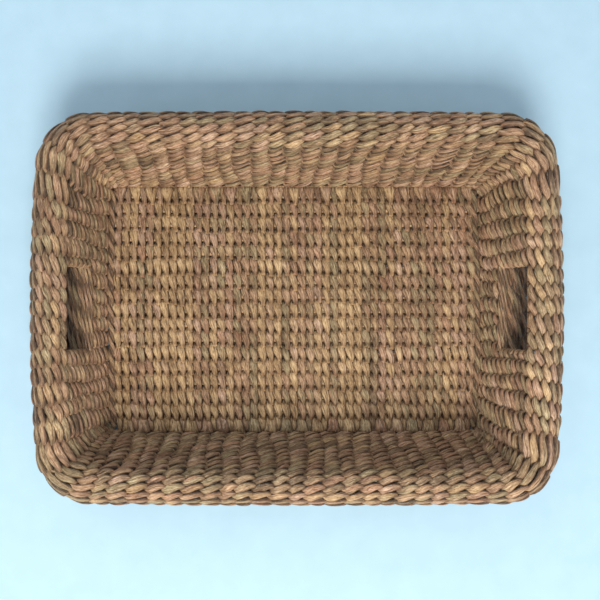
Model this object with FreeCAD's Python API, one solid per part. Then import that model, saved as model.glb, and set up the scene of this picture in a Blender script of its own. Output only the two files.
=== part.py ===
"""Rectangular twined bread basket on a welded wire frame.

Millimetres, +Z up, +X along the basket's length. The origin is the centre of the underside.
The wall is three layers: stakes and frame wires in the middle surface, with an inner and an
outer strand on either side of them. The middle surface leans outwards, then rolls over into
a lip. Every horizontal outline is four shallow side arcs joined by four corner arcs.
"""
import FreeCAD, Part
import math
import os

# Overall size and wall profile
LENGTH = 450.4
WIDTH = 333.0
HEIGHT = 78.0
WALL_ANGLE = math.radians(70.0)
LIP_RADIUS = 11.5
STEEP_COURSES = 10
LIP_COURSES = 8
LIP_PITCH = 5.35

# Layers of the weave
STRAND_THICKNESS = 2.6
STRAND_WIDTH = 6.1
LAYER_GAP = 3.8
STRAND_FILL = 0.85
STAKE_THICKNESS = 2.8
WIRE_RADIUS = 1.5
CLEARANCE = 0.3

# Outline
CORNER_RADIUS = 10.0
CORNER_GROWTH = 0.76
LONG_SIDE_BOW_RADIUS = 12000.0
SHORT_SIDE_BOW_RADIUS = 1700.0

# Stakes
LONG_SIDE_STAKES = 23
LONG_SIDE_WIRES = (7, 15)
SHORT_SIDE_REACH = 8
SHORT_SIDE_WIRE = 3
WARP_PITCH = 13.27
STAKE_WIDTH = 6.0
CORNER_STAKE_WIDTH = 3.0
CORNER_STAKE_SHARE = 0.36

# Base mat
WARP_WIDTH = 8.4
WEFT_COUNT = 45
WEFT_PITCH = 7.3
WEFT_HALF_SPAN = 111.0
CORD_RADIUS = 1.8
END_CORD_INSET = 7.2
END_CORD_HALF_LENGTH = 98.0

# Hand holes in the short walls
HOLE_COURSES = range(5, 11)
HOLE_HALF_LENGTH = 36.0
HOLE_CORD_HALF_LENGTH = 34.0
HOLE_LEDGE_RADIUS = 1.9
HOLE_LEDGE_CORDS = ((15.6, 26.5), (19.8, 26.0), (23.9, 24.8), (27.8, 23.0), (31.4, 20.5))
BINDING_THICKNESS = 1.5
BINDING_MOUTH = math.radians(110.0)

SIDES = {"front": -1, "back": 1}
ENDS = {"left": -1, "right": 1}
QUADRANTS = {"back_right": (1, 1), "back_left": (-1, 1), "front_left": (-1, -1), "front_right": (1, -1)}

# Derived places
LAYER_OFFSET = (LAYER_GAP + STRAND_THICKNESS) / 2
HALF_WALL = LAYER_GAP / 2 + STRAND_THICKNESS
MID_Z = HALF_WALL
LIP_CENTRE_Z = HEIGHT - HALF_WALL - LIP_RADIUS
STEEP_RISE = LIP_CENTRE_Z + LIP_RADIUS * math.cos(WALL_ANGLE) - MID_Z
STEEP_LENGTH = STEEP_RISE / math.sin(WALL_ANGLE)
STEEP_PITCH = STEEP_LENGTH / STEEP_COURSES
STEEP_RUN = STEEP_LENGTH * math.cos(WALL_ANGLE)
LIP_CENTRE_RUN = STEEP_RUN + LIP_RADIUS * math.sin(WALL_ANGLE)
FLARE = LIP_CENTRE_RUN + LIP_RADIUS + HALF_WALL
BASE_HALF_LENGTH = LENGTH / 2 - FLARE
BASE_HALF_WIDTH = WIDTH / 2 - FLARE
WALL_END = STEEP_LENGTH + LIP_COURSES * LIP_PITCH
RIM_WIRE_AT = WALL_END + WIRE_RADIUS
STAKE_START = WIRE_RADIUS + CLEARANCE
STAKE_END = WALL_END - CLEARANCE
HOLE_BOTTOM = (HOLE_COURSES[0] - 1) * STEEP_PITCH
HOLE_TOP = HOLE_COURSES[-1] * STEEP_PITCH
PATH_STEP = 4.0
SWEEP_TOLERANCE = 0.02
SWEEP_ANGLE_TOLERANCE = 0.05


def profile(distance):
    """Outward run, height and heading of the middle surface at a distance up the wall."""
    if distance <= STEEP_LENGTH:
        run = distance * math.cos(WALL_ANGLE)
        return run, MID_Z + distance * math.sin(WALL_ANGLE), WALL_ANGLE
    heading = WALL_ANGLE - (distance - STEEP_LENGTH) / LIP_RADIUS
    run = LIP_CENTRE_RUN - LIP_RADIUS * math.sin(heading)
    return run, LIP_CENTRE_Z + LIP_RADIUS * math.cos(heading), heading


def corner_radius(run):
    """Tight at the base, then growing with the run so that the lip rounds its corners."""
    return CORNER_RADIUS + CORNER_GROWTH * run


def outline(run, offset=0.0):
    """First-quadrant arcs of the outline: (centre x, centre y, radius, first and last angle)."""
    half_length = BASE_HALF_LENGTH + run
    half_width = BASE_HALF_WIDTH + run
    radius = corner_radius(run)
    end_x = half_length - SHORT_SIDE_BOW_RADIUS
    side_y = half_width - LONG_SIDE_BOW_RADIUS
    # The corner arc touches both side arcs from inside, so its centre lies on two circles.
    reach_end = SHORT_SIDE_BOW_RADIUS - radius
    reach_side = LONG_SIDE_BOW_RADIUS - radius
    gap = math.hypot(end_x, side_y)
    along = (reach_end ** 2 - reach_side ** 2 + gap ** 2) / (2 * gap)
    across = math.sqrt(reach_end ** 2 - along ** 2)
    unit_x = -end_x / gap
    unit_y = side_y / gap
    corner_x = end_x + along * unit_x - across * unit_y
    corner_y = along * unit_y + across * unit_x
    end_angle = math.atan2(corner_y, corner_x - end_x)
    side_angle = math.atan2(corner_y - side_y, corner_x)
    return (
        (end_x, 0.0, SHORT_SIDE_BOW_RADIUS + offset, 0.0, end_angle),
        (corner_x, corner_y, radius + offset, end_angle, side_angle),
        (0.0, side_y, LONG_SIDE_BOW_RADIUS + offset, side_angle, math.pi / 2),
    )


def arc_point(arc, angle, height, mirror_x, mirror_y):
    x = arc[0] + arc[2] * math.cos(angle)
    y = arc[1] + arc[2] * math.sin(angle)
    return FreeCAD.Vector(mirror_x * x, mirror_y * y, height)


def corner_place(share, mirror_x, mirror_y):
    """Path up the middle surface at a fixed share of the corner arc."""
    def place(distance):
        run, height, _ = profile(distance)
        arc = outline(run)[1]
        angle = arc[3] + share * (arc[4] - arc[3])
        return arc_point(arc, angle, height, mirror_x, mirror_y)
    return place


def long_side_place(across, mirror_y):
    """Path up a long side, at a share of the way from its middle to its end."""
    def place(distance):
        run, height, _ = profile(distance)
        arc = outline(run)[2]
        angle = arc[4] - abs(across) * (arc[4] - arc[3])
        return arc_point(arc, angle, height, math.copysign(1, across), mirror_y)
    return place


def short_side_place(row, mirror_x, mirror_y):
    """Path up a short side: straight above its base row by the hand hole, fanned out beyond it."""
    def place(distance):
        run, height, _ = profile(distance)
        arc = outline(run)[0]
        y = row * WARP_PITCH
        straight = SHORT_SIDE_WIRE * WARP_PITCH
        if row > SHORT_SIDE_WIRE:
            foot = outline(0.0)[1][1]
            y = straight + (y - straight) * (outline(run)[1][1] - straight) / (foot - straight)
        return arc_point(arc, math.asin(y / arc[2]), height, mirror_x, mirror_y)
    return place


def stadium(width, thickness, heading, run=0.0, height=0.0):
    """Face with round ends in the XZ plane, its width along the heading."""
    along = FreeCAD.Vector(math.cos(heading), 0, math.sin(heading))
    across = FreeCAD.Vector(math.sin(heading), 0, -math.cos(heading))
    centre = FreeCAD.Vector(run, 0, height)
    flat = (width - thickness) / 2
    half = thickness / 2
    top_left = centre - along * flat + across * half
    top_right = centre + along * flat + across * half
    bottom_right = centre + along * flat - across * half
    bottom_left = centre - along * flat - across * half
    right_tip = centre + along * (width / 2)
    left_tip = centre - along * (width / 2)
    edges = [
        Part.makeLine(top_left, top_right),
        Part.Arc(top_right, right_tip, bottom_right).toShape(),
        Part.makeLine(bottom_right, bottom_left),
        Part.Arc(bottom_left, left_tip, top_left).toShape(),
    ]
    return Part.Face(Part.Wire(edges))


def disc(radius):
    return Part.Face(Part.Wire(Part.makeCircle(radius, FreeCAD.Vector(), FreeCAD.Vector(0, 1, 0))))


def open_tube_section(inner, outer, mouth_centre):
    """Part ring whose mouth faces the given direction in the XZ plane."""
    first = mouth_centre + BINDING_MOUTH / 2
    last = mouth_centre + 2 * math.pi - BINDING_MOUTH / 2
    middle = (first + last) / 2

    def at(radius, angle):
        return FreeCAD.Vector(radius * math.cos(angle), 0, radius * math.sin(angle))

    edges = [
        Part.Arc(at(outer, first), at(outer, middle), at(outer, last)).toShape(),
        Part.makeLine(at(outer, last), at(inner, last)),
        Part.Arc(at(inner, last), at(inner, middle), at(inner, first)).toShape(),
        Part.makeLine(at(inner, first), at(outer, first)),
    ]
    return Part.Face(Part.Wire(edges))


def revolve_arc(section, arc, height, mirror_x=1, mirror_y=1):
    """Carry a section, drawn about the outline point, along one arc of the outline."""
    centre_x, centre_y, radius, first, last = arc
    placed = section.copy()
    placed.translate(FreeCAD.Vector(radius, 0, height))
    up = FreeCAD.Vector(0, 0, 1)
    placed.rotate(FreeCAD.Vector(), up, math.degrees(first))
    solid = placed.revolve(FreeCAD.Vector(), up, math.degrees(last - first))
    solid.translate(FreeCAD.Vector(centre_x, centre_y, 0))
    if mirror_x < 0:
        solid = solid.mirror(FreeCAD.Vector(), FreeCAD.Vector(1, 0, 0))
    if mirror_y < 0:
        solid = solid.mirror(FreeCAD.Vector(), FreeCAD.Vector(0, 1, 0))
    return solid


def ring(section, distance, offset=0.0, height_shift=0.0):
    """Closed hoop of one section all the way round the basket."""
    run, height, _ = profile(distance)
    pieces = []
    for mirror_x, mirror_y in QUADRANTS.values():
        for arc in outline(run, offset):
            pieces.append(revolve_arc(section, arc, height + height_shift, mirror_x, mirror_y))
    return pieces[0].multiFuse(pieces[1:]).removeSplitter()


def end_rod(section, distance, half_length, mirror_x, offset=0.0, height_shift=0.0):
    """Rod along the middle of one short side."""
    run, height, _ = profile(distance)
    centre_x, centre_y, radius, _, _ = outline(run, offset)[0]
    reach = math.asin(half_length / radius)
    arc = (centre_x, centre_y, radius, -reach, reach)
    return revolve_arc(section, arc, height + height_shift, mirror_x)


def sweep(points, section, binormal):
    """Solid swept along a smooth path, the section's X side kept along the binormal."""
    curve = Part.BSplineCurve()
    curve.interpolate(points)
    start = curve.value(curve.FirstParameter)
    tangent = FreeCAD.Vector(*curve.tangent(curve.FirstParameter)[0])
    side = (binormal - tangent * binormal.dot(tangent)).normalize()
    normal = side.cross(tangent)
    placed = section.copy()
    placed.Placement = FreeCAD.Placement(start, FreeCAD.Rotation(side, tangent, normal, "XYZ"))
    shell = Part.BRepOffsetAPI.MakePipeShell(Part.Wire(curve.toShape()))
    shell.setTolerance(SWEEP_TOLERANCE, SWEEP_TOLERANCE, SWEEP_ANGLE_TOLERANCE)
    shell.setBiNormalMode(side)
    shell.add(placed.OuterWire)
    shell.build()
    shell.makeSolid()
    return shell.shape()


def end_rod_at(section, run, height, half_length, mirror_x):
    """Rod along the middle of one short side, at a run and height away from the wall."""
    centre_x, centre_y, radius, _, _ = outline(0.0)[0]
    reach = math.asin(half_length / (radius + run))
    return revolve_arc(section, (centre_x, centre_y, radius + run, -reach, reach), height, mirror_x)


def upright(section, place, side, first=STAKE_START, last=STAKE_END):
    """Stake or wire in the middle surface, from the foot of the wall up and over the lip."""
    steps = max(4, round((last - first) / PATH_STEP))
    points = [place(first + (last - first) * step / steps) for step in range(steps + 1)]
    return sweep(points, section, side)


def grouped(solids):
    return solids[0] if len(solids) == 1 else Part.makeCompound(solids)


def save(name, *solids):
    shape = grouped(list(solids))
    for solid in shape.Solids:
        if not solid.isValid() or solid.Volume <= 0:
            raise ValueError("bad solid in " + name)
    shape.exportStep("parts/" + name + ".step")


def strand_section(pitch, heading):
    width = min(STRAND_WIDTH, STRAND_FILL * pitch)
    return stadium(width, STRAND_THICKNESS, heading)


def course_solids(number):
    """Outer and inner strands of one row of twining, cut where it meets the hand holes."""
    on_lip = number > STEEP_COURSES
    if on_lip:
        distance = STEEP_LENGTH + (number - STEEP_COURSES - 0.5) * LIP_PITCH
    else:
        distance = (number - 0.5) * STEEP_PITCH
    heading = profile(distance)[2]
    solids = []
    for side in (1, -1):
        pitch = LIP_PITCH * (1 - side * LAYER_OFFSET / LIP_RADIUS) if on_lip else STEEP_PITCH
        offset = side * LAYER_OFFSET * math.sin(heading)
        rise = -side * LAYER_OFFSET * math.cos(heading)
        strand = ring(strand_section(pitch, heading), distance, offset, rise)
        if number in HOLE_COURSES:
            hole = Part.makeBox(LENGTH, 2 * HOLE_HALF_LENGTH, HEIGHT)
            hole.translate(FreeCAD.Vector(-LENGTH / 2, -HOLE_HALF_LENGTH, 0))
            strand = strand.cut(hole)
        solids.extend(strand.Solids)
    return solids


def build_courses():
    for number in range(1, STEEP_COURSES + LIP_COURSES + 1):
        save("wall_course_%02d" % number, *course_solids(number))


def build_hoops():
    wire = disc(WIRE_RADIUS)
    save("base_ring_wire", ring(wire, 0.0))
    save("rim_wire", ring(wire, RIM_WIRE_AT))
    heading = profile(RIM_WIRE_AT)[2]
    inner = WIRE_RADIUS + CLEARANCE
    binding = open_tube_section(inner, inner + BINDING_THICKNESS, heading + math.pi)
    save("rim_binding", ring(binding, RIM_WIRE_AT))


def long_side_share(index):
    """Place along a long side: -1 and 1 are its ends."""
    return (index + 0.5) / LONG_SIDE_STAKES * 2 - 1


def corner_uprights(section, shares, mirror_x, mirror_y):
    solids = []
    for share in shares:
        angle = share * math.pi / 2
        side = FreeCAD.Vector(-mirror_x * math.sin(angle), mirror_y * math.cos(angle), 0)
        solids.append(upright(section, corner_place(share, mirror_x, mirror_y), side))
    return solids


def long_side_uprights(section, indices, mirror_y):
    along = FreeCAD.Vector(1, 0, 0)
    return [upright(section, long_side_place(long_side_share(i), mirror_y), along) for i in indices]


def short_side_uprights(section, rows, mirror_x, first=STAKE_START, last=STAKE_END):
    """Stakes above the given base rows and their mirror images in the basket's long axis."""
    along = FreeCAD.Vector(0, 1, 0)
    solids = []
    for row in rows:
        for mirror_y in (1, -1) if row else (1,):
            place = short_side_place(row, mirror_x, mirror_y)
            solids.append(upright(section, place, along, first, last))
    return solids


def build_frame_uprights():
    wire = disc(WIRE_RADIUS)
    for name, mirrors in QUADRANTS.items():
        save("corner_upright_" + name, *corner_uprights(wire, [0.5], *mirrors))
    for name, mirror_y in SIDES.items():
        save("side_uprights_" + name, *long_side_uprights(wire, LONG_SIDE_WIRES, mirror_y))
    for name, mirror_x in ENDS.items():
        save("handle_uprights_" + name, *short_side_uprights(wire, [SHORT_SIDE_WIRE], mirror_x))


def build_stakes():
    section = stadium(STAKE_WIDTH, STAKE_THICKNESS, 0.0)
    fibre_places = [i for i in range(LONG_SIDE_STAKES) if i not in LONG_SIDE_WIRES]
    for name, mirror_y in SIDES.items():
        save("stakes_" + name, *long_side_uprights(section, fibre_places, mirror_y))
    hole_rows = range(SHORT_SIDE_WIRE)
    outer_rows = range(SHORT_SIDE_WIRE + 1, SHORT_SIDE_REACH)
    grip_stakes = []
    for name, mirror_x in ENDS.items():
        stakes = short_side_uprights(section, outer_rows, mirror_x)
        below_cord = HOLE_BOTTOM - CLEARANCE
        stakes += short_side_uprights(section, hole_rows, mirror_x, last=below_cord)
        save("stakes_" + name, *stakes)
        above_wire = HOLE_TOP + CLEARANCE
        grip_stakes += short_side_uprights(section, hole_rows, mirror_x, first=above_wire)
    save("grip_stakes", *grip_stakes)


def build_corner_stakes():
    section = stadium(CORNER_STAKE_WIDTH, STAKE_THICKNESS, 0.0)
    shares = [0.5 - CORNER_STAKE_SHARE, 0.5 + CORNER_STAKE_SHARE]
    for name, mirrors in QUADRANTS.items():
        save("corner_stakes_" + name, *corner_uprights(section, shares, *mirrors))


def build_hole_edges():
    wire = disc(WIRE_RADIUS)
    cord = disc(CORD_RADIUS)
    for name, mirror_x in ENDS.items():
        top = end_rod(wire, HOLE_TOP - WIRE_RADIUS, HOLE_CORD_HALF_LENGTH, mirror_x)
        save("handle_wire_" + name, top)
        bottom = end_rod(cord, HOLE_BOTTOM + CORD_RADIUS, HOLE_CORD_HALF_LENGTH, mirror_x)
        save("hole_edge_cord_" + name, bottom)
        ledge_cord = disc(HOLE_LEDGE_RADIUS)
        ledge = [end_rod_at(ledge_cord, run, height, HOLE_CORD_HALF_LENGTH, mirror_x)
                 for run, height in HOLE_LEDGE_CORDS]
        save("hole_ledge_cords_" + name, *ledge)
        end = end_rod(cord, 0.0, END_CORD_HALF_LENGTH, mirror_x, -END_CORD_INSET,
                      STAKE_THICKNESS / 2 + CORD_RADIUS + CLEARANCE)
        save("base_end_cord_" + name, end)


def base_end_x(y):
    """Where the base ring wire's inner side is, at one Y."""
    centre_x, _, radius, _, _ = outline(0.0)[0]
    return centre_x + math.sqrt(radius ** 2 - y ** 2) - WIRE_RADIUS - CLEARANCE


def lengthwise_bar(section, y, half_length):
    """Bar along X in the middle of the base mat."""
    bar = section.copy()
    bar.rotate(FreeCAD.Vector(), FreeCAD.Vector(0, 0, 1), 90)
    bar.translate(FreeCAD.Vector(-half_length, y, MID_Z))
    return bar.extrude(FreeCAD.Vector(2 * half_length, 0, 0))


def build_base_warps():
    warps = []
    for row in range(-SHORT_SIDE_REACH, SHORT_SIDE_REACH + 1):
        y = row * WARP_PITCH
        if abs(row) != SHORT_SIDE_WIRE:
            reach = base_end_x(abs(y) + WARP_WIDTH / 2) - (abs(row) == SHORT_SIDE_REACH) * CORNER_RADIUS
            warps.append(lengthwise_bar(stadium(WARP_WIDTH, STAKE_THICKNESS, 0.0), y, reach))
    save("base_warps", *warps)
    for name, sign in SIDES.items():
        y = sign * SHORT_SIDE_WIRE * WARP_PITCH
        save("base_long_wire_" + name, lengthwise_bar(disc(WIRE_RADIUS), y, base_end_x(y)))


def hairpin(x, height, turn_y):
    """Two neighbouring wefts and the turn that joins them at one edge of the mat."""
    radius = WEFT_PITCH / 2
    edge = WEFT_HALF_SPAN - STRAND_WIDTH / 2
    far = FreeCAD.Vector(x, -turn_y * edge, height)
    near = FreeCAD.Vector(x, turn_y * (edge - radius), height)
    tip = FreeCAD.Vector(x + radius, turn_y * edge, height)
    back_near = FreeCAD.Vector(x + WEFT_PITCH, turn_y * (edge - radius), height)
    back_far = FreeCAD.Vector(x + WEFT_PITCH, -turn_y * edge, height)
    path = Part.Wire([
        Part.makeLine(far, near),
        Part.Arc(near, tip, back_near).toShape(),
        Part.makeLine(back_near, back_far),
    ])
    section = stadium(STRAND_WIDTH, STRAND_THICKNESS, 0.0)
    section.translate(far)
    return path.makePipe(section)


def single_weft(x, height):
    weft = stadium(STRAND_WIDTH, STRAND_THICKNESS, 0.0)
    edge = WEFT_HALF_SPAN - STRAND_WIDTH / 2
    weft.translate(FreeCAD.Vector(x, -edge, height))
    return weft.extrude(FreeCAD.Vector(0, 2 * edge, 0))


def build_base_wefts():
    """Pairs of wefts either side of a single middle one: the upper turn in front, the lower behind."""
    middle = (WEFT_COUNT - 1) // 2
    for name, side in (("upper", 1), ("lower", -1)):
        height = MID_Z + side * LAYER_OFFSET
        wefts = [single_weft(0.0, height)]
        for index in range(1, middle, 2):
            wefts.append(hairpin(index * WEFT_PITCH, height, -side))
            wefts.append(hairpin(-(index + 1) * WEFT_PITCH, height, -side))
        save("base_wefts_" + name, *wefts)


def build():
    os.makedirs("parts", exist_ok=True)
    build_hoops()
    build_frame_uprights()
    build_base_warps()
    build_base_wefts()
    build_stakes()
    build_corner_stakes()
    build_hole_edges()
    build_courses()


build()
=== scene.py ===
"""Looks of the twined bread basket: twined strands, cords, fibre materials, light and camera.

Lengths are in millimetres and are scaled to metres when a mesh is made. The materials'
and the stage's own lengths are in metres.
The wall's middle surface is the CAD's: it leans out from the base ring wire, then rolls over.
Places around the wall are counted in stakes, anticlockwise from the middle of the right end.
"""
import math

import bpy
import numpy as np
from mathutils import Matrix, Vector


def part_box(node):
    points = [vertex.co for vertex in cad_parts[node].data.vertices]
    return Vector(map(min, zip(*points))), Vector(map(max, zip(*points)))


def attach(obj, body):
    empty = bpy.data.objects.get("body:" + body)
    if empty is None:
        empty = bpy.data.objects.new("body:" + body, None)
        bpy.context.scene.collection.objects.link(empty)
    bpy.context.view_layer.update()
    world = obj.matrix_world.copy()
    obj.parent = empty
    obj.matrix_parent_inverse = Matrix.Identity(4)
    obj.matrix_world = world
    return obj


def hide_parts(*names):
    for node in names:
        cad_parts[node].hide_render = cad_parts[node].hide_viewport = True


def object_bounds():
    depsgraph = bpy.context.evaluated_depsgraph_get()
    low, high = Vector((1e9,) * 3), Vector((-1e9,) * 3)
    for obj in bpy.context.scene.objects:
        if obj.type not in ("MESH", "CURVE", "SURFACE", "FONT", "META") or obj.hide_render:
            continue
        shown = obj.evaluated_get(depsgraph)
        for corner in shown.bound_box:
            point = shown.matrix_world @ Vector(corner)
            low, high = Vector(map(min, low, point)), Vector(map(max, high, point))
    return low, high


MM = 0.001
METRE = 1000.0
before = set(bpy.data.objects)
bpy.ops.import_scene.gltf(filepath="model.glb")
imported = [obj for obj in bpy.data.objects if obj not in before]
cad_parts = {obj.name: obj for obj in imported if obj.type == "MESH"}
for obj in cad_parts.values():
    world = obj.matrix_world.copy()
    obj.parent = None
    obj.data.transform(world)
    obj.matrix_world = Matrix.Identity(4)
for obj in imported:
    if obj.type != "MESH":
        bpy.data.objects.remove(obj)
cad_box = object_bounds()


def box_mm(node):
    low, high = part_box(node)
    return np.array(low) / MM, np.array(high) / MM


# Sizes read from the CAD
RING_LOW, RING_HIGH = box_mm("base_ring_wire")
WIRE_RADIUS = (RING_HIGH[2] - RING_LOW[2]) / 2
MID_Z = (RING_HIGH[2] + RING_LOW[2]) / 2
BASE_HALF_LENGTH = RING_HIGH[0] - WIRE_RADIUS
BASE_HALF_WIDTH = RING_HIGH[1] - WIRE_RADIUS
WEFT_LOW, WEFT_HIGH = box_mm("base_wefts_upper")
STRAND_THICKNESS = WEFT_HIGH[2] - WEFT_LOW[2]
LAYER_OFFSET = MID_Z - STRAND_THICKNESS / 2
HALF_WALL = MID_Z
HEIGHT = np.array(cad_box[1])[2] / MM

# The wall's design, as in the CAD
WALL_ANGLE = math.radians(70.0)
LIP_RADIUS = 11.5
STEEP_COURSES = 10
LIP_COURSES = 8
LIP_PITCH = 5.35
CORNER_RADIUS = 10.0
CORNER_GROWTH = 0.76
LONG_SIDE_BOW_RADIUS = 12000.0
SHORT_SIDE_BOW_RADIUS = 1700.0
LONG_SIDE_STAKES = 23
SHORT_SIDE_REACH = 8
WIRED_ROW = 3
WARP_PITCH = 13.27
CORNER_SHARES = (0.14, 0.5, 0.86)
WEFT_COUNT = 45
WEFT_PITCH = 7.3
HOLE_COURSES = range(5, 11)
HOLE_LEDGE_CORDS = ((15.6, 26.5), (19.8, 26.0), (23.9, 24.8), (27.8, 23.0), (31.4, 20.5))
ENDS = {"left": -1, "right": 1}

LIP_CENTRE_Z = HEIGHT - HALF_WALL - LIP_RADIUS
STEEP_RISE = LIP_CENTRE_Z + LIP_RADIUS * math.cos(WALL_ANGLE) - MID_Z
STEEP_LENGTH = STEEP_RISE / math.sin(WALL_ANGLE)
STEEP_PITCH = STEEP_LENGTH / STEEP_COURSES
STEEP_RUN = STEEP_LENGTH * math.cos(WALL_ANGLE)
LIP_CENTRE_RUN = STEEP_RUN + LIP_RADIUS * math.sin(WALL_ANGLE)
WALL_END = STEEP_LENGTH + LIP_COURSES * LIP_PITCH
ALL_COURSES = STEEP_COURSES + LIP_COURSES

# One strand's section and surface. Twist is in radians per millimetre.
AROUND = 14
CORD_AROUND = 12
WRAP_AROUND = 8
SECTION_POWER = 0.85
RIDGE_COUNT = 5
RIDGE_DEPTH = 0.10
RIDGE_TWIST = (0.02, 0.05)
GRAIN_STARTS = 50
TINY = 1e-9

# How strands lie. Shares are of a stitch's length or of the pitch between courses.
SAMPLES = 10
CROSSING_FOCUS = 0.45
PLATEAU = 0.5
FULLNESS_POWER = 0.75
THICKENING_POWER = 1.4
WALL_LAG = 0.14
LIP_LAG = 0.06
MAT_LAG = 0.16
TAIL_SHARE = 0.62
STEEP_WIDTHS = (0.32, 0.55)
LIP_WIDTHS = (0.37, 0.57)
MAT_WIDTHS = (0.30, 0.55)
CROSSING_THICKENING = 2.3
CROSSING_JITTER = 0.11
WALL_SLANT = 0.33
MAT_SLANT = 0.20

# Handmade unevenness. Swings are the most that a stitch strays: shares, millimetres or radians.
TONE_SPREAD = 0.09
WALL_TONE_RUNS = (2, 8)
WALL_DEPTH_SWING = 0.12
WALL_LIFT_SWING = 0.6
WALL_WIDTH_SWING = 0.17
WALL_ROLL = 0.12
WALL_ROLL_SWING = 0.28
FADE_STAKES = 2
MAT_TONE_RUNS = (3, 9)
MAT_TONE_SHARE = 0.6
MAT_WIDTH_SWING = 0.16
MAT_SIDE_SWING = 0.6
MAT_ROLL_SWING = 0.25
MAT_RISE_SWING = 0.25
ROW_STRAY = 0.9
ROW_STRAY_TURN = 2.3
WEFT_STRAY = 0.7
WEFT_STRAY_TURN = 0.9
WEFT_STRAY_LENGTH = 45
# Slow drifts of a course: size, waves round the basket, start, change from course to course
ALONG_DRIFT = ((0.10, 9, 0.0, 0.5), (0.09, 23, 0.0, -0.35))
RISE_DRIFT = ((0.7, 5, 1.0, 0.0), (0.4, 13, 0.0, 0.2))

# Base mat. At each wall every other weft ends proud, in a full stitch, and those between
# end low and thin.
MAT_REACH = SHORT_SIDE_REACH + 0.49
MAT_STRETCH = 1.018
PROUD_RISE = 0.5
PROUD_WIDENING = 0.9
END_DROP = 2.3
END_NARROWING = 0.35
# End darkening and the tip length paint shade into the crease at each wall; the wire bump's light
# and the stitch light set painted shading
END_DARKENING = 0.7
END_STRETCH = 1.6
TIP_LENGTH = 0.22
WIRE_BUMP_REACH = 0.3
WIRE_BUMP_RISE = 0.7
WIRE_BUMP_LIGHT = 0.4
STITCH_LIGHT = 0.85

# Seeds of the random draws. A wall course's own seed is its number.
SEED = 41
CROSSING_SEEDS = SEED * 10
COURSE_SEEDS = SEED * 100
BUNDLE_SEEDS = SEED * 1000
WEFT_SEED_COUNT = 1000
MAT_SEED = 100
END_CORD_SEED = 200
HOLE_EDGE_SEED = 210
LEDGE_SEED = 220
HOLE_TOP_SEED = 230
BASE_WRAP_SEED = 240
RIM_WRAP_SEED = 241

# Cords. Lit runs from 0, in deep shade, to 1.
ARC_STEP = 1.6
CORD_SWAY = 0.4
CORD_SWAY_LENGTHS = (13, 31)
CORD_LAY_RADIUS = 0.5
CORD_STRAND_WIDTH = 0.62
CORD_STRAND_THICK = 0.5
CORD_TONE_STEP = 0.17
CORD_TUCK = 3.5
END_CORD_RADIUS = 3.2
END_CORD_TURN = 30.0
END_CORD_REACH = 109.0
END_CORD_LIT = 0.4
HOLE_CORD_TURN = 45.0
EDGE_CORD_RADIUS = 2.2
EDGE_CORD_RISE = 1.0
EDGE_CORD_LIT = 1.0
LEDGE_CORD_RADIUS = 3.4
LEDGE_LIT = (0.8, 0.5, 0.2, 0.0, 0.0)
LEDGE_SHIFT = 0.8

# Strands wound round a wire. Widths are half widths, as shares of the pitch.
WRAP_PITCH = 4.4
WRAP_HALF_THICK = 0.8
WRAP_LIT = 0.9
HOLE_WRAP_STEP = 0.35
HOLE_WRAP_WIDTH = 0.48
HOLE_WRAP_TONES = (0.3, 0.7)
RING_WRAP_WIDTH = 0.52
RING_WRAP_SAMPLES = 44
RING_WRAP_TONE = 0.5
RING_WRAP_TONE_SWING = 0.3
RING_WRAP_TONE_TURNS = (0.7, 0.23)


def profile(distance):
    """Outward run, height and heading of the wall's middle surface."""
    if distance <= STEEP_LENGTH:
        run = distance * math.cos(WALL_ANGLE)
        return run, MID_Z + distance * math.sin(WALL_ANGLE), WALL_ANGLE
    heading = WALL_ANGLE - (distance - STEEP_LENGTH) / LIP_RADIUS
    run = LIP_CENTRE_RUN - LIP_RADIUS * math.sin(heading)
    return run, LIP_CENTRE_Z + LIP_RADIUS * math.cos(heading), heading


def outline_arcs(run):
    """First-quadrant arcs of an outline: (centre x, centre y, radius, first and last angle)."""
    radius = CORNER_RADIUS + CORNER_GROWTH * run
    end_x = BASE_HALF_LENGTH + run - SHORT_SIDE_BOW_RADIUS
    side_y = BASE_HALF_WIDTH + run - LONG_SIDE_BOW_RADIUS
    reach_end = SHORT_SIDE_BOW_RADIUS - radius
    reach_side = LONG_SIDE_BOW_RADIUS - radius
    gap = math.hypot(end_x, side_y)
    along = (reach_end ** 2 - reach_side ** 2 + gap ** 2) / (2 * gap)
    across = math.sqrt(reach_end ** 2 - along ** 2)
    corner_x = end_x - along * end_x / gap - across * side_y / gap
    corner_y = along * side_y / gap - across * end_x / gap
    end_angle = math.atan2(corner_y, corner_x - end_x)
    side_angle = math.atan2(corner_y - side_y, corner_x)
    return (
        (end_x, 0.0, SHORT_SIDE_BOW_RADIUS, 0.0, end_angle),
        (corner_x, corner_y, radius, end_angle, side_angle),
        (0.0, side_y, LONG_SIDE_BOW_RADIUS, side_angle, math.pi / 2),
    )


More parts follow.
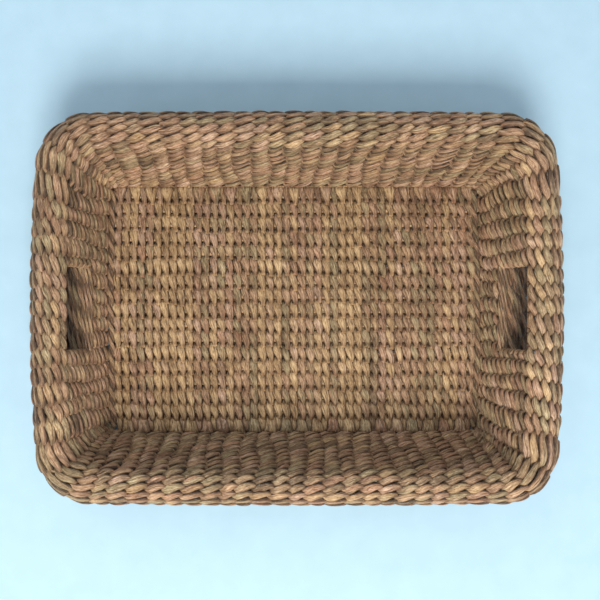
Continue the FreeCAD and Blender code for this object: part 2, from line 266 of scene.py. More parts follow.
class Outline:
    """One level's closed outline, with its stakes' places measured along it."""

    STEPS = 400

    def __init__(self, run):
        arcs = outline_arcs(run)
        lengths, points, normals = [0.0], [], []
        for arc in arcs:
            angles = np.linspace(arc[3], arc[4], self.STEPS)
            normal = np.stack([np.cos(angles), np.sin(angles)], 1)
            points.append(np.array(arc[:2]) + arc[2] * normal)
            normals.append(normal)
            lengths.append(lengths[-1] + arc[2] * (arc[4] - arc[3]))
        self.table = np.concatenate([
            np.linspace(lengths[i], lengths[i + 1], self.STEPS) for i in range(3)])
        self.points = np.concatenate(points)
        self.normals = np.concatenate(normals)
        self.quarter = lengths[-1]
        self.stakes = self._stake_places(arcs, lengths)

    def _stake_places(self, arcs, lengths):
        straight = WIRED_ROW * WARP_PITCH
        foot = outline_arcs(0.0)[1][1]
        fan = (arcs[1][1] - straight) / (foot - straight)
        places = []
        for row in range(1, SHORT_SIDE_REACH):
            y = row * WARP_PITCH
            if row > WIRED_ROW:
                y = straight + (y - straight) * fan
            places.append(arcs[0][2] * math.asin(y / arcs[0][2]))
        for share in CORNER_SHARES:
            places.append(lengths[1] + share * (lengths[2] - lengths[1]))
        half = LONG_SIDE_STAKES // 2
        for index in range(half, 0, -1):
            across = 2 * index / LONG_SIDE_STAKES
            places.append(lengths[3] - across * (lengths[3] - lengths[2]))
        first = np.array(places)
        middle = [self.quarter]
        half_turn = np.concatenate([[0.0], first, middle, 2 * self.quarter - first[::-1]])
        both = np.concatenate([half_turn, 2 * self.quarter + half_turn])
        return np.append(both, 4 * self.quarter)

    def at(self, place):
        """Points and outward normals in plan, at places counted in stakes."""
        count = len(self.stakes) - 1
        turns = np.floor(place / count)
        length = np.interp(place - turns * count, np.arange(count + 1), self.stakes)
        quadrant = np.minimum((length / self.quarter).astype(int), 3)
        folded = np.where(quadrant % 2 == 0, length - quadrant * self.quarter,
                          (quadrant + 1) * self.quarter - length)
        sign_x = np.where((quadrant == 0) | (quadrant == 3), 1.0, -1.0)
        sign_y = np.where(quadrant < 2, 1.0, -1.0)
        signs = np.stack([sign_x, sign_y], 1)
        point = np.stack([np.interp(folded, self.table, self.points[:, i]) for i in (0, 1)], 1)
        normal = np.stack([np.interp(folded, self.table, self.normals[:, i]) for i in (0, 1)], 1)
        return point * signs, normal * signs


STAKE_COUNT = len(Outline(0.0).stakes) - 1
HALF_COUNT = STAKE_COUNT // 2


def unit(vectors):
    return vectors / np.maximum(np.linalg.norm(vectors, axis=1, keepdims=True), TINY)


class Bundle:
    """Collects strands of one piece and turns them into one mesh."""

    def __init__(self, seed):
        self.random = np.random.default_rng(BUNDLE_SEEDS + seed)
        self.points, self.quads, self.caps = [], [], []
        self.along, self.turn, self.tone, self.painted_shading = [], [], [], []
        self.count = 0

    def strand(self, centres, width_side, half_width, half_thick, tone, painted_shading,
               closed=False, roll=0.0, around=AROUND):
        """Flattened fibrous strand along a path. Sizes, tone and crest may vary along it."""
        n = len(centres)
        if closed:
            tangent = np.roll(centres, -1, 0) - np.roll(centres, 1, 0)
        else:
            tangent = np.gradient(centres, axis=0)
        tangent = unit(tangent)
        thick_side = unit(np.cross(tangent, np.broadcast_to(width_side, centres.shape)))
        width_axis = np.cross(thick_side, tangent)
        roll = np.broadcast_to(roll, n)[:, None]
        width_dir = width_axis * np.cos(roll) + thick_side * np.sin(roll)
        thick_dir = thick_side * np.cos(roll) - width_axis * np.sin(roll)
        step = np.linalg.norm(np.diff(centres, axis=0), axis=1)
        along = np.concatenate([[0.0], np.cumsum(step)])
        angle = np.linspace(0, 2 * math.pi, around, endpoint=False)
        phase = self.random.uniform(0, 2 * math.pi)
        twist = self.random.uniform(*RIDGE_TWIST)
        ridge = np.cos(RIDGE_COUNT * angle[None, :] + phase + twist * along[:, None])
        size = 1 + RIDGE_DEPTH * ridge
        half_width = np.broadcast_to(half_width, n)[:, None]
        half_thick = np.broadcast_to(half_thick, n)[:, None]
        across = np.sign(np.cos(angle)) * np.abs(np.cos(angle)) ** SECTION_POWER
        outward = np.sign(np.sin(angle)) * np.abs(np.sin(angle)) ** SECTION_POWER
        offset_w = half_width * across[None, :]
        offset_t = half_thick * outward[None, :] * size
        points = (centres[:, None, :] + width_dir[:, None, :] * offset_w[:, :, None]
                  + thick_dir[:, None, :] * offset_t[:, :, None])
        index = self.count + np.arange(n * around).reshape(n, around)
        nxt = np.roll(index, -1, 1)
        if closed:
            rows, next_rows = index, np.roll(index, -1, 0)
            next_nxt = np.roll(nxt, -1, 0)
            quads = np.stack([rows, nxt, next_nxt, next_rows], 2)
        else:
            quads = np.stack([index[:-1], nxt[:-1], nxt[1:], index[1:]], 2)
            self.caps.append(index[0][::-1])
            self.caps.append(index[-1])
        self.points.append(points.reshape(-1, 3))
        self.quads.append(quads.reshape(-1, 4))
        grain_start = METRE * self.random.uniform(0, GRAIN_STARTS)
        self.along.append(np.repeat(along + grain_start, around))
        self.turn.append(np.tile(angle, n))
        self.tone.append(np.repeat(np.broadcast_to(tone, n), around))
        self.painted_shading.append(np.repeat(np.broadcast_to(painted_shading, n), around))
        self.count += n * around

    def build(self, name, material, slot, *stands_for):
        """Makes the mesh, gives it its point attributes and lets it ride on the basket."""
        points = np.concatenate(self.points) * MM
        quads = np.concatenate(self.quads)
        loops = np.concatenate([quads.ravel()] + self.caps)
        sizes = np.array([4] * len(quads) + [len(cap) for cap in self.caps])
        mesh = bpy.data.meshes.new(name)
        mesh.vertices.add(len(points))
        mesh.vertices.foreach_set("co", points.astype(np.float32).ravel())
        mesh.loops.add(len(loops))
        mesh.loops.foreach_set("vertex_index", loops.astype(np.int32))
        mesh.polygons.add(len(sizes))
        starts = np.concatenate([[0], np.cumsum(sizes)[:-1]]).astype(np.int32)
        mesh.polygons.foreach_set("loop_start", starts)
        mesh.polygons.foreach_set("use_smooth", np.ones(len(sizes), bool))
        mesh.update(calc_edges=True)
        self._attribute(mesh, "tone", np.concatenate(self.tone))
        self._attribute(mesh, "painted_shading", np.concatenate(self.painted_shading))
        along = np.concatenate(self.along)
        turn = np.concatenate(self.turn)
        fibre = np.stack([along * MM, np.cos(turn), np.sin(turn)], 1)
        store = mesh.attributes.new("fibre", "FLOAT_VECTOR", "POINT")
        store.data.foreach_set("vector", fibre.astype(np.float32).ravel())
        piece = bpy.data.objects.new(name, mesh)
        bpy.context.scene.collection.objects.link(piece)
        mesh.materials.append(material)
        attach(piece, "root")
        if stands_for:
            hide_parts(*stands_for)

    @staticmethod
    def _attribute(mesh, name, values):
        store = mesh.attributes.new(name, "FLOAT", "POINT")
        store.data.foreach_set("value", values.astype(np.float32))


# ---- twining ----

def stake_samples(first, last, closed=False):
    """Places from one stake to another, closer together where the strands cross between stakes."""
    even = np.arange(first * SAMPLES, last * SAMPLES + (0 if closed else 1)) / SAMPLES
    return even + CROSSING_FOCUS * np.sin(2 * math.pi * even) / (2 * math.pi)


def stitch_shape(place, parity, lag):
    """Depth, slant and fullness of one of a course's two strands.

    Depth is 1 on the inner or upper side of the stakes and -1 on the other. A stitch tapers
    from its full head to its tail, which points to higher places if the lag is positive.
    """
    wave = np.cos(math.pi * (place + parity - lag))
    depth = np.sign(wave) * np.abs(wave) ** PLATEAU
    slant = np.sin(math.pi * (place + parity))
    from_tail = 0.5 - np.sign(lag) * (place - np.round(place))
    fullness = np.where(from_tail < TAIL_SHARE, from_tail / TAIL_SHARE,
                        (1 - from_tail) / (1 - TAIL_SHARE))
    return depth, slant, np.clip(fullness, 0, 1) ** FULLNESS_POWER


def strand_section(pitch, fullness, widths):
    """Half width and half thickness: flat over a stake, turned on edge where strands cross.

    The widths are the half width's shares of the pitch at a crossing and over a stake.
    """
    half_width = pitch * (widths[0] + (widths[1] - widths[0]) * fullness)
    half_thick = STRAND_THICKNESS / 2 + CROSSING_THICKENING * (1 - fullness) ** THICKENING_POWER
    return half_width, half_thick


def crossing_shift(random, place, count, closed):
    """Where strands really cross, in stakes from the even spacing: a handmade unevenness."""
    shifts = random.uniform(-CROSSING_JITTER, CROSSING_JITTER, count)
    crossings = np.arange(count) + 0.5
    if closed:
        return np.interp(place, crossings, shifts, period=count)
    return np.interp(place, crossings, shifts)


def strand_tones(random, stitches, run_length):
    """Tone of each stitch: a strand keeps its tone until a new leaf is laid in."""
    tones = np.empty(stitches)
    start = 0
    while start < stitches:
        length = int(random.integers(*run_length))
        tones[start:start + length] = random.uniform(0, 1)
        start += length
    return tones + random.uniform(-TONE_SPREAD, TONE_SPREAD, stitches)


def drift(waves, place, number):
    """Sum of a table's waves, at places round one course."""
    angle = 2 * math.pi * place / STAKE_COUNT
    return sum(size * np.sin(count * angle + start + change * number)
               for size, count, start, change in waves)


def wander(place, number):
    """Slow handmade drift of a course: along it in stakes, and up the wall in millimetres."""
    rise = drift(RISE_DRIFT, place, number)
    return drift(ALONG_DRIFT, place, number), rise * number / ALL_COURSES


class Course:
    """One row of twining on the wall."""

    def __init__(self, number):
        self.number = number
        distance = (number - 0.5) * STEEP_PITCH
        self.on_lip = number > STEEP_COURSES
        if self.on_lip:
            distance = STEEP_LENGTH + (number - STEEP_COURSES - 0.5) * LIP_PITCH
        self.run, self.height, self.heading = profile(distance)
        self.outline = Outline(self.run)
        self.random = np.random.default_rng(COURSE_SEEDS + number)

    def axes(self, place):
        """Middle points, and the directions up the wall and outwards through it."""
        point, normal = self.outline.at(place)
        flat = np.ones((len(place), 1))
        cos, sin = math.cos(self.heading), math.sin(self.heading)
        middle = np.hstack([point, self.height * flat])
        return middle, np.hstack([normal * cos, sin * flat]), np.hstack([normal * sin, -cos * flat])

    def pitch(self, outward):
        """Room for one course at a depth: less under the lip, more on top of it."""
        if not self.on_lip:
            return np.full(len(outward), STEEP_PITCH)
        return LIP_PITCH * (1 - outward / LIP_RADIUS)

    def strand(self, place, parity, steady=0.0):
        """Path, sizes, tones, crest and roll of one of the two strands.

        It doesn't drift along the course where steady is 1.
        """
        uneven = np.random.default_rng(CROSSING_SEEDS + self.number)
        depth, slant, fullness = stitch_shape(place, parity, LIP_LAG if self.on_lip else WALL_LAG)
        along, rise = wander(place, self.number)
        along = along + crossing_shift(uneven, place, STAKE_COUNT, True)
        middle, up, out = self.axes(place + along * (1 - steady))
        index = (np.round(place).astype(int) + STAKE_COUNT) % STAKE_COUNT
        # The fifth draw isn't used. It keeps the tones' draws below in their place
        deeper, higher, turned, wider, _ = (
            self.random.uniform(-1, 1, (5, STAKE_COUNT))[:, index] * fullness)
        outward = -LAYER_OFFSET * depth * (1 + WALL_DEPTH_SWING * deeper)
        pitch = self.pitch(outward)
        widths = LIP_WIDTHS if self.on_lip else STEEP_WIDTHS
        half_width, half_thick = strand_section(pitch, fullness, widths)
        lift = rise - WALL_SLANT * pitch * slant + WALL_LIFT_SWING * higher
        centres = middle + out * outward[:, None] + up * lift[:, None]
        tones = strand_tones(self.random, STAKE_COUNT, WALL_TONE_RUNS)[index]
        roll = WALL_ROLL + WALL_ROLL_SWING * turned
        half_width = half_width * (1 + WALL_WIDTH_SWING * wider)
        # Fullness is also the strand's painted shading: darker where it thins at the crossings, as
        # shade in the grooves between stitches
        return centres, up, half_width, half_thick, tones, fullness, roll

    def turn(self, stake, forward):
        """Half turn round an upright beside a hand hole, between the wall's two faces."""
        angle = np.linspace(0, math.pi, SAMPLES // 2 + 2)[1:-1]
        flat = np.ones(len(angle))
        middle, up, out = self.axes(stake * flat)
        side = 1.0 if forward else -1.0
        outward = side * LAYER_OFFSET * np.cos(angle)
        reach = side * LAYER_OFFSET * np.sin(angle)
        centres = middle + out * outward[:, None] + np.cross(up, out) * reach[:, None]
        half_width = 0.5 * self.pitch(outward)
        half_thick = STRAND_THICKNESS / 2 * flat
        middle_tone = 0.5 * flat
        return centres, up, half_width, half_thick, middle_tone, flat, 0 * flat

    def loop(self, first, last):
        """The course's strand between two hand holes, out on one parity and back on the other."""
        place = stake_samples(first, last)
        steady = np.clip(1 - np.minimum(place - first, last - place) / FADE_STAKES, 0, 1)
        out_parity = (last + 1) % 2
        back_parity = last % 2
        there = self.strand(place, out_parity, steady)
        back = [column[::-1] for column in self.strand(place, back_parity, steady)]
        parts = (there, self.turn(last, True), back, self.turn(first, False))
        return [np.concatenate(columns) for columns in zip(*parts)]


def wall_course(number, material):
    course = Course(number)
    bundle = Bundle(number)
    if number in HOLE_COURSES:
        paths = [course.loop(WIRED_ROW, HALF_COUNT - WIRED_ROW),
                 course.loop(HALF_COUNT + WIRED_ROW, STAKE_COUNT - WIRED_ROW)]
    else:
        # It starts where the strands cross, which hides the seam
        place = np.roll(stake_samples(0, STAKE_COUNT, closed=True), -SAMPLES // 2)
        paths = [course.strand(place, parity) for parity in (0, 1)]
    for centres, up, half_width, half_thick, tones, painted_shading, roll in paths:
        bundle.strand(centres, up, half_width, half_thick, tones, painted_shading, closed=True, roll=roll)
    bundle.build("twined_course_%02d" % number, material, "seagrass_strand",
                 "wall_course_%02d" % number)


# ---- base mat ----

class Weft:
    """A pair of strands running from the front edge of the base to the back edge."""

    def __init__(self, number, random):
        self.number = number
        self.random = random
        self.tone = random.uniform(0, 1)
        self.uneven_seed = int(random.integers(WEFT_SEED_COUNT))
        self.x = (number - (WEFT_COUNT - 1) / 2) * WEFT_PITCH * MAT_STRETCH

    def row_drift(self, place):
        """How far the handmade rows stray from an even pitch, along y."""
        rows = np.arange(-SHORT_SIDE_REACH - 1, SHORT_SIDE_REACH + 2)
        whole_row = ROW_STRAY * np.sin(rows * ROW_STRAY_TURN)
        own_part = WEFT_STRAY * np.sin(rows * WEFT_STRAY_TURN + self.x / WEFT_STRAY_LENGTH)
        within = np.abs(rows) < SHORT_SIDE_REACH
        return np.interp(place, rows, (whole_row + own_part) * within)

    def strand(self, parity):
        """Path, sizes, tones, crest and roll of one of the pair's strands."""
        reach = SHORT_SIDE_REACH + 1
        place = stake_samples(-reach, reach)
        place = place[np.abs(place) <= MAT_REACH]
        depth, slant, fullness = stitch_shape(place, parity, -MAT_LAG)
        index = np.round(place + reach).astype(int)
        wider, sideways, turned, higher = (
            self.random.uniform(-1, 1, (4, index.max() + 1))[:, index] * fullness)
        end = np.clip(np.abs(place) - SHORT_SIDE_REACH + 0.5, 0, 1)
        proud = (place > 0) == (self.number % 2 == 0)
        over_wire = np.exp(-((np.abs(place) - WIRED_ROW) / WIRE_BUMP_REACH) ** 2)
        rise = np.where(proud, PROUD_RISE, -END_DROP) * end
        rise = rise + WIRE_BUMP_RISE * over_wire + MAT_RISE_SWING * higher
        height = depth * (LAYER_OFFSET + rise * (depth > 0))
        half_width, half_thick = strand_section(WEFT_PITCH, np.maximum(fullness, end), MAT_WIDTHS)
        # The underside is pressed flat by what the basket stands on
        half_thick = np.minimum(half_thick, (MID_Z + height) / (1 + RIDGE_DEPTH))
        widening = np.where(proud, PROUD_WIDENING, -END_NARROWING) * end
        half_width = half_width * (1 + MAT_WIDTH_SWING * wider + widening)
        uneven = np.random.default_rng(self.uneven_seed)
        shift = crossing_shift(uneven, place + reach, 2 * reach, False) * (1 - end)
        y = (place + shift) * WARP_PITCH + self.row_drift(place)
        y = y + END_STRETCH * np.sign(place) * end
        bow = 1 - y ** 2 / (2 * SHORT_SIDE_BOW_RADIUS) / BASE_HALF_LENGTH
        x = self.x * bow - MAT_SLANT * WEFT_PITCH * slant * (1 - end) + MAT_SIDE_SWING * sideways
        centres = np.stack([x, y, MID_Z + height], 1)
        stitch_tones = strand_tones(self.random, index.max() + 1, MAT_TONE_RUNS)[index]
        tones = self.tone + stitch_tones * MAT_TONE_SHARE
        # Painted shading: darker towards each crossing, lighter over the raised row on the wire as
        # painted light and wear, and the low ends and every tip painted dark as shade in the crease
        tip = np.clip((np.abs(place) - MAT_REACH) / TIP_LENGTH + 1, 0, 1)
        painted_shading = np.clip(STITCH_LIGHT * fullness + WIRE_BUMP_LIGHT * over_wire, 0, 1)
        painted_shading = painted_shading * np.where(proud, 1, 1 - END_DARKENING * end) * (1 - tip)
        return centres, half_width, half_thick, tones, painted_shading, MAT_ROLL_SWING * turned * (depth > 0)


def base_mat(material):
    """The wefts, in three pieces so that each mesh stays light."""
    nodes = (("base_wefts_upper",), ("base_wefts_lower",), ())
    across = np.array([1.0, 0.0, 0.0])
    for part, wefts in enumerate(np.array_split(np.arange(WEFT_COUNT), len(nodes))):
        bundle = Bundle(MAT_SEED + part)
        for number in wefts:
            weft = Weft(number, bundle.random)
            for parity in (0, 1):
                centres, half_width, half_thick, tones, painted_shading, roll = weft.strand(parity)
                bundle.strand(centres, across, half_width, half_thick, tones, painted_shading, roll=roll)
        bundle.build("mat_wefts_%d" % (part + 1), material, "seagrass_strand", *nodes[part])


# ---- cords and bindings ----

def end_arc(run, height, half_length, mirror_x, step=ARC_STEP):
    """Points along one short side, as far as a half length from its middle."""
    y = np.arange(-half_length, half_length + step / 2, step)
    centre_x = BASE_HALF_LENGTH - SHORT_SIDE_BOW_RADIUS
    x = centre_x + np.sqrt((SHORT_SIDE_BOW_RADIUS + run) ** 2 - y ** 2)
    return np.stack([mirror_x * x, y, np.full(len(y), height)], 1)


def helix(path, radius, turn_length, phase):
    """A path that winds round another one, and the direction away from the middle one."""
    tangent = unit(np.gradient(path, axis=0))
    side = unit(np.cross(tangent, np.array([0.0, 0.0, 1.0])))
    up = np.cross(side, tangent)
    step = np.linalg.norm(np.diff(path, axis=0), axis=1)
    along = np.concatenate([[0.0], np.cumsum(step)])
    angle = 2 * math.pi * along / turn_length + phase
    away = side * np.cos(angle)[:, None] + up * np.sin(angle)[:, None]
    return path + radius * away, away


def twisted_cord(bundle, path, radius, turn_length, lit):
    """A loose cord of two strands laid round each other. It is darker where lit is less."""
    tone = bundle.random.uniform(0, 1)
    phase = bundle.random.uniform(0, 2 * math.pi)
    short, long = CORD_SWAY_LENGTHS
    sway = np.sin(path[:, 1] / short + phase) + np.sin(path[:, 1] / long + 2 * phase)
    path = path + CORD_SWAY * sway[:, None] * np.array([1.0, 0.0, 0.0])
    for number in (0, 1):
        centres, away = helix(path, radius * CORD_LAY_RADIUS, turn_length, phase + math.pi * number)
        tangent = unit(np.gradient(centres, axis=0))
        bundle.strand(centres, np.cross(away, tangent), radius * CORD_STRAND_WIDTH,
                      radius * CORD_STRAND_THICK, tone + CORD_TONE_STEP * number, lit,
                      around=CORD_AROUND)


def end_cords(material):
    """The cord in the crease between the mat and each short wall."""
    for name, mirror_x in ENDS.items():
        node = "base_end_cord_" + name
        low, high = box_mm(node)
        bundle = Bundle(END_CORD_SEED + mirror_x)
        run = max(abs(low[0]), abs(high[0])) - (high[2] - low[2]) / 2 - BASE_HALF_LENGTH
        path = end_arc(run, (low[2] + high[2]) / 2, END_CORD_REACH, mirror_x)
        twisted_cord(bundle, path, END_CORD_RADIUS, END_CORD_TURN, END_CORD_LIT)
        bundle.build("end_cord_" + name, material, "twisted_cord", node)


def hole_lower_edge(name, mirror_x, material):
    """Cords side by side through the wall's thickness, closing the courses' top."""
    node = "hole_edge_cord_" + name
    half_length = box_mm(node)[1][1] + CORD_TUCK
    run, height, _ = profile((min(HOLE_COURSES) - 1) * STEEP_PITCH + EDGE_CORD_RISE)
    across = np.array([mirror_x * math.sin(WALL_ANGLE), 0.0, -math.cos(WALL_ANGLE)])
    bundle = Bundle(HOLE_EDGE_SEED + mirror_x)
    for outward in (-LAYER_OFFSET, 0.0, LAYER_OFFSET):
        path = end_arc(run, height, half_length, mirror_x) + outward * across
        twisted_cord(bundle, path, EDGE_CORD_RADIUS, HOLE_CORD_TURN, EDGE_CORD_LIT)
    bundle.build("hole_edge_" + name, material, "twisted_cord", node)


def hole_ledge(name, mirror_x, material):
    """Loose cords outside the hole's lower edge, in the grip's shade."""
    node = "hole_ledge_cords_" + name
    half_length = box_mm(node)[1][1] + CORD_TUCK
    bundle = Bundle(LEDGE_SEED + mirror_x)
    for (run, height), lit in zip(HOLE_LEDGE_CORDS, LEDGE_LIT):
        path = end_arc(run + LEDGE_SHIFT, height, half_length, mirror_x)
        twisted_cord(bundle, path, LEDGE_CORD_RADIUS, HOLE_CORD_TURN, lit)
    bundle.build("hole_ledge_" + name, material, "twisted_cord", node)


def hole_upper_edge(name, mirror_x, material):
    """A strand wound round the handle wire at the top of the hole."""
    run, height, _ = profile(max(HOLE_COURSES) * STEEP_PITCH - WIRE_RADIUS)
    half_length = box_mm("hole_edge_cord_" + name)[1][1]
    path = end_arc(run, height, half_length, mirror_x, step=HOLE_WRAP_STEP)
    centres, _ = helix(path, WIRE_RADIUS + WRAP_HALF_THICK, WRAP_PITCH, 0.0)
    bundle = Bundle(HOLE_TOP_SEED + mirror_x)
    along_y = np.array([0.0, 1.0, 0.0])
    tone = bundle.random.uniform(*HOLE_WRAP_TONES)
    bundle.strand(centres, along_y, WRAP_PITCH * HOLE_WRAP_WIDTH, WRAP_HALF_THICK, tone, WRAP_LIT,
                  around=WRAP_AROUND)
    bundle.build("hole_top_wrap_" + name, material, "twisted_cord")


def ring_wrap(name, seed, run, height, lit, material, *stands_for):
    """A strand wound all the way round one of the frame's rings."""
    place = np.linspace(0, STAKE_COUNT, STAKE_COUNT * RING_WRAP_SAMPLES, endpoint=False)
    outline = Outline(run)
    plan, normal = outline.at(place)
    flat = np.ones((len(plan), 1))
    wire = np.hstack([plan, height * flat])
    out = np.hstack([normal, 0 * flat])
    up = np.array([0.0, 0.0, 1.0])
    length = np.interp(place, np.arange(STAKE_COUNT + 1), outline.stakes)
    turns = round(4 * outline.quarter / WRAP_PITCH)
    angle = 2 * math.pi * turns * length / (4 * outline.quarter)
    away = out * np.cos(angle)[:, None] + up * np.sin(angle)[:, None]
    bundle = Bundle(seed)
    fast, slow = (np.sin(place * turn) for turn in RING_WRAP_TONE_TURNS)
    tones = RING_WRAP_TONE + RING_WRAP_TONE_SWING * fast * slow
    # Lit darkens the tone and sets the painted shading: the base ring's wrap gets 0, painted dark
    # as shade in the crease
    bundle.strand(wire + (WIRE_RADIUS + WRAP_HALF_THICK) * away, np.cross(up, out),
                  WRAP_PITCH * RING_WRAP_WIDTH, WRAP_HALF_THICK, tones * lit, lit,
                  closed=True, around=WRAP_AROUND)
    bundle.build(name, material, "twisted_cord", *stands_for)


# ---- materials ----

def linear(colour):
    """Linear values of an 8-bit sRGB colour."""
    share = np.array(colour) / 255
    curved = np.where(share <= 0.04045, share / 12.92, ((share + 0.055) / 1.055) ** 2.4)
    return (*curved.tolist(), 1.0)


class Shader:
    """A material's node tree, with short ways to add the nodes used here."""

    def __init__(self, name):
        self.material = bpy.data.materials.new(name)
        self.material.use_nodes = True
        self.nodes = self.material.node_tree.nodes
        self.links = self.material.node_tree.links
        self.surface = self.nodes["Principled BSDF"]

    def connect(self, value, socket):
        if isinstance(value, bpy.types.NodeSocket):
            self.links.new(value, socket)
        else:
            socket.default_value = value

    def attribute(self, name, output="Fac"):
        node = self.nodes.new("ShaderNodeAttribute")
        node.attribute_name = name
        return node.outputs[output]

    def position(self):
        return self.nodes.new("ShaderNodeTexCoord").outputs["Object"]

    def calculate(self, operation, first, second, clamp=False):
        node = self.nodes.new("ShaderNodeMath")
        node.operation = operation
        node.use_clamp = clamp
        self.connect(first, node.inputs[0])
        self.connect(second, node.inputs[1])
        return node.outputs[0]

    def scaled(self, vector, factors):
        node = self.nodes.new("ShaderNodeVectorMath")
        node.operation = "MULTIPLY"
        self.connect(vector, node.inputs[0])
        node.inputs[1].default_value = factors
        return node.outputs[0]

    def component(self, vector, axis):
        node = self.nodes.new("ShaderNodeSeparateXYZ")
        self.connect(vector, node.inputs[0])
        return node.outputs[axis]

    def noise(self, vector, scale, detail, roughness=0.55):
        node = self.nodes.new("ShaderNodeTexNoise")
        node.inputs["Scale"].default_value = scale
        node.inputs["Detail"].default_value = detail
        node.inputs["Roughness"].default_value = roughness
        self.connect(vector, node.inputs["Vector"])
        return node.outputs["Fac"]

    def ramp(self, value, stops):
        node = self.nodes.new("ShaderNodeValToRGB")
        elements = node.color_ramp.elements
        while len(elements) < len(stops):
            elements.new(0.5)
        for element, (position, colour) in zip(elements, stops):
            element.position = position
            element.color = linear(colour)
        self.connect(value, node.inputs[0])
        return node.outputs[0]

    def mix(self, kind, factor, first, second):
        node = self.nodes.new("ShaderNodeMix")
        node.data_type = "RGBA"
        node.blend_type = kind
        for index, value in zip((0, 6, 7), (factor, first, second)):
            self.connect(value, node.inputs[index])
        return node.outputs[2]

    def finish(self, colour, roughness, height, depth, strength):
        """Colour and roughness, and a bump of a given depth in metres."""
        self.connect(colour, self.surface.inputs["Base Color"])
        self.connect(roughness, self.surface.inputs["Roughness"])
        bump = self.nodes.new("ShaderNodeBump")
        bump.inputs["Strength"].default_value = strength
        bump.inputs["Distance"].default_value = depth
        self.connect(height, bump.inputs["Height"])
        self.connect(bump.outputs[0], self.surface.inputs["Normal"])
        return self.material


# Leaf tones over a strand's tone, and the painted highlight tone of the glints
LEAF_TONES = (
    (0.00, (148, 125, 96)), (0.10, (192, 162, 127)), (0.20, (178, 164, 127)),
    (0.32, (207, 173, 141)), (0.44, (194, 158, 127)), (0.55, (211, 180, 138)),
    (0.66, (186, 172, 136)), (0.76, (203, 160, 127)), (0.88, (212, 181, 158)),
    (1.00, (222, 192, 148)),
)
TONE_SHIFT = 0.4
GLINT_PAINT_TONE = (232, 208, 174)
GLINT_PAINT_SHARE = 0.45
GLINT_START = 0.56
GLINT_SLOPE = 6.0
WAX_SMOOTHING = 0.40
LEAF_ROUGHNESS = 0.66
LEAF_SPECULAR = 0.55
LINE_CONTRAST = 3.6
LINE_OFFSET = 1.3
GRAIN_HEIGHT = 0.5
LAYER_STRENGTH = 0.85
# Noise scales along, across and through a strand
FINE_FIBRES = (90.0, 3.8, 3.8)
COARSE_FIBRES = (38.0, 1.3, 1.3)
GRAIN = (260.0, 6.5, 6.5)
# From a CAD piece's own coordinates to a strand's. Its fibres then run upwards
STAKE_FIBRES = (3.0, 60.0, 3.0)
# Colours that the leaf's tone is multiplied by, over each layer's value. The stitch edges' colours
# are painted shade in the crevices between stitches, and SHADE is painted light and shade.
FIBRE_LINES = ((0.00, (138, 126, 112)), (0.35, (212, 206, 198)), (0.75, (255, 255, 255)))
STITCH_EDGE_SHADE = ((0.64, (255, 255, 255)), (0.85, (186, 166, 144)), (1.00, (66, 50, 38)))
PATCHES = ((0.36, (196, 182, 164)), (0.60, (255, 252, 248)))
SPECKLES = ((0.34, (130, 108, 84)), (0.48, (236, 231, 224)), (0.62, (255, 255, 255)))
SHADE = ((0.0, (172, 150, 126)), (0.45, (232, 228, 222)), (1.0, (255, 255, 255)))
# The frame wire's paint with its scuffs, and the floor
WIRE_PAINT = ((0.35, (44, 36, 28)), (0.6, (70, 56, 44)), (0.72, (118, 88, 60)))
WIRE_METALLIC = 0.3
FLOOR_TINT = ((0.3, (150, 178, 192)), (0.7, (154, 182, 196)))


def leaf_surface(shader, fibre, across, tone, fullness):
    """Dried leaf: a tone per strand, lengthwise fibres, blotches, painted shade at stitch edges and
    small glints painted pale as highlights.

    Across is 0 along the middle of a strand and 1 at its edges.
    """
    fibres = shader.noise(shader.scaled(fibre, FINE_FIBRES), 1.0, detail=4.0, roughness=0.65)
    coarse = shader.noise(shader.scaled(fibre, COARSE_FIBRES), 1.0, detail=2.0)
    blotches = shader.noise(shader.position(), 60.0, detail=4.0)
    grain = shader.noise(shader.scaled(fibre, GRAIN), 1.0, detail=3.0, roughness=0.7)
    shift = shader.calculate("MULTIPLY", shader.calculate("SUBTRACT", coarse, 0.5), TONE_SHIFT)
    colour = shader.ramp(shader.calculate("ADD", tone, shift, clamp=True), LEAF_TONES)
    contrast = shader.calculate("MULTIPLY", fibres, LINE_CONTRAST)
    lines = shader.calculate("SUBTRACT", contrast, LINE_OFFSET)
    # The stitch-edge layer paints shade into the crevices between stitches; the shade layer paints
    # light and shade from fullness, which is each strand's painted shading
    layers = ((lines, FIBRE_LINES), (across, STITCH_EDGE_SHADE), (blotches, PATCHES),
              (grain, SPECKLES), (fullness, SHADE))
    for value, stops in layers:
        colour = shader.mix("MULTIPLY", LAYER_STRENGTH, colour, shader.ramp(value, stops))
    # Glints are smoother, and their colour is painted pale towards a highlight tone
    above = shader.calculate("SUBTRACT", grain, GLINT_START)
    glint = shader.calculate("MULTIPLY", above, GLINT_SLOPE, clamp=True)
    painted_glint = shader.calculate("MULTIPLY", glint, GLINT_PAINT_SHARE)
    colour = shader.mix("MIX", painted_glint, colour, linear(GLINT_PAINT_TONE))
    smoothing = shader.calculate("MULTIPLY", glint, WAX_SMOOTHING)
    roughness = shader.calculate("SUBTRACT", LEAF_ROUGHNESS, smoothing)
    height = shader.calculate("ADD", lines, shader.calculate("MULTIPLY", grain, GRAIN_HEIGHT))
    shader.surface.inputs["Specular IOR Level"].default_value = LEAF_SPECULAR
    return shader.finish(colour, roughness, height, depth=0.0007, strength=0.85)


def strand_material():
    """For strands made here, which carry their own lengthwise coordinates and tones."""
    shader = Shader("seagrass_strands")
    fibre = shader.attribute("fibre", "Vector")
    across = shader.calculate("ABSOLUTE", shader.component(fibre, "Y"), 0.0)
    return leaf_surface(shader, fibre, across, shader.attribute("tone"), shader.attribute("painted_shading"))


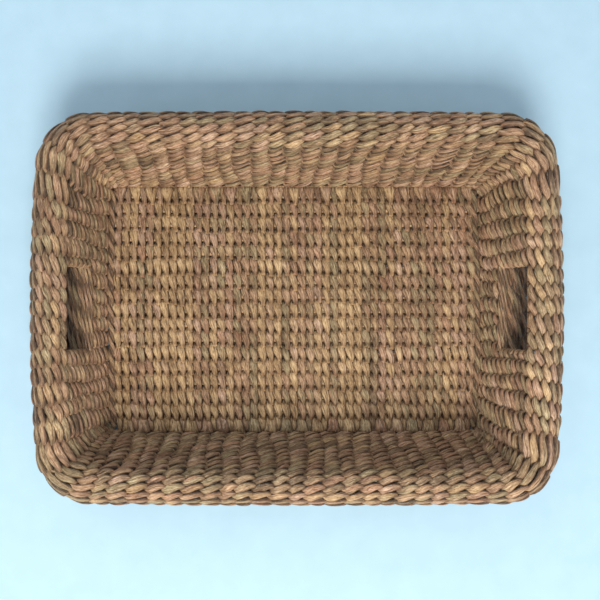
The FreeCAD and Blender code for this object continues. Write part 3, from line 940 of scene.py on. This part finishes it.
def stake_material():
    """For the CAD's stakes, whose fibres run upwards. The base's lengthwise rows share it."""
    shader = Shader("seagrass_stakes")
    fibre = shader.scaled(shader.position(), STAKE_FIBRES)
    tone = shader.noise(shader.position(), 35.0, detail=1.0)
    return leaf_surface(shader, fibre, across=0.0, tone=tone, fullness=0.5)


def wire_material():
    """Dark painted frame wire with scuffs."""
    shader = Shader("frame_wire_paint")
    scuffs = shader.noise(shader.position(), 180.0, detail=4.0)
    paint = shader.ramp(scuffs, WIRE_PAINT)
    shader.surface.inputs["Metallic"].default_value = WIRE_METALLIC
    return shader.finish(paint, roughness=0.5, height=scuffs, depth=0.0001, strength=0.3)


def dress_cad():
    """Gives the CAD's own pieces their materials."""
    wire, stake = wire_material(), stake_material()
    for name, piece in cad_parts.items():
        is_wire = "wire" in name or "upright" in name
        piece.data.materials.clear()
        piece.data.materials.append(wire if is_wire else stake)


# ---- stage ----

# Camera: its place in metres and its sensor in millimetres. It looks straight down, with its
# frame shifted as in a cropped picture.
CAMERA_PLACE = (-0.0303, -0.0007, 0.6931)
SENSOR_WIDTH = 36.0
LENS_TO_SENSOR = 1.2393
FRAME_SHIFT = (0.0652, 0.0153)
NEAR_LIMIT = 0.01
FLOOR_HALF_SIZE = 3.0

# Lamps: name, place and size in metres, power in watts, and colour. They point at the basket.
LAMPS = (
    ("key", (-0.05, -1.20, 1.50), 0.80, 54.0, (1.0, 0.96, 0.91)),
    ("fill", (-0.6, 1.2, 1.5), 1.6, 7.0, (0.96, 0.98, 1.0)),
)
SKY_COLOUR = (0.86, 0.92, 1.0, 1.0)
SKY_STRENGTH = 0.82


def link(piece):
    bpy.context.scene.collection.objects.link(piece)
    return piece


def floor():
    half = FLOOR_HALF_SIZE
    mesh = bpy.data.meshes.new("floor")
    corners = [(-half, -half, 0), (half, -half, 0), (half, half, 0), (-half, half, 0)]
    mesh.from_pydata(corners, [], [(0, 1, 2, 3)])
    shader = Shader("pale_floor")
    speckle = shader.noise(shader.position(), 40.0, detail=2.0)
    tint = shader.ramp(speckle, FLOOR_TINT)
    mesh.materials.append(
        shader.finish(tint, roughness=0.8, height=speckle, depth=0.0001, strength=0.05))
    link(bpy.data.objects.new("floor", mesh))


def area_light(name, place, size, power, colour):
    light = bpy.data.lights.new(name, "AREA")
    light.size = size
    light.energy = power
    light.color = colour
    lamp = link(bpy.data.objects.new(name, light))
    lamp.location = place
    lamp.rotation_euler = (-Vector(place)).to_track_quat("-Z", "Y").to_euler()


def lights():
    """A key light from the front, a weak fill from behind and an even pale sky."""
    for lamp in LAMPS:
        area_light(*lamp)
    world = bpy.data.worlds.new("studio")
    world.use_nodes = True
    background = world.node_tree.nodes["Background"]
    background.inputs["Color"].default_value = SKY_COLOUR
    background.inputs["Strength"].default_value = SKY_STRENGTH
    bpy.context.scene.world = world


def camera():
    """Looks down with the basket's back at the top of the picture."""
    data = bpy.data.cameras.new("camera")
    data.sensor_width = SENSOR_WIDTH
    data.lens = SENSOR_WIDTH * LENS_TO_SENSOR
    data.shift_x, data.shift_y = FRAME_SHIFT
    data.clip_start = NEAR_LIMIT
    eye = link(bpy.data.objects.new("camera", data))
    eye.location = CAMERA_PLACE
    bpy.context.scene.camera = eye


def main():
    strand = strand_material()
    for number in range(1, ALL_COURSES + 1):
        wall_course(number, strand)
    base_mat(strand)
    end_cords(strand)
    for name, mirror_x in ENDS.items():
        hole_lower_edge(name, mirror_x, strand)
        hole_ledge(name, mirror_x, strand)
        hole_upper_edge(name, mirror_x, strand)
    ring_wrap("base_ring_wrap", BASE_WRAP_SEED, 0.0, MID_Z, 0.0, strand)
    rim_run, rim_height, _ = profile(WALL_END + WIRE_RADIUS)
    ring_wrap("rim_wrap", RIM_WRAP_SEED, rim_run, rim_height, WRAP_LIT, strand, "rim_binding")
    dress_cad()
    floor()
    lights()
    camera()
    bpy.context.scene.view_settings.view_transform = "Standard"


main()
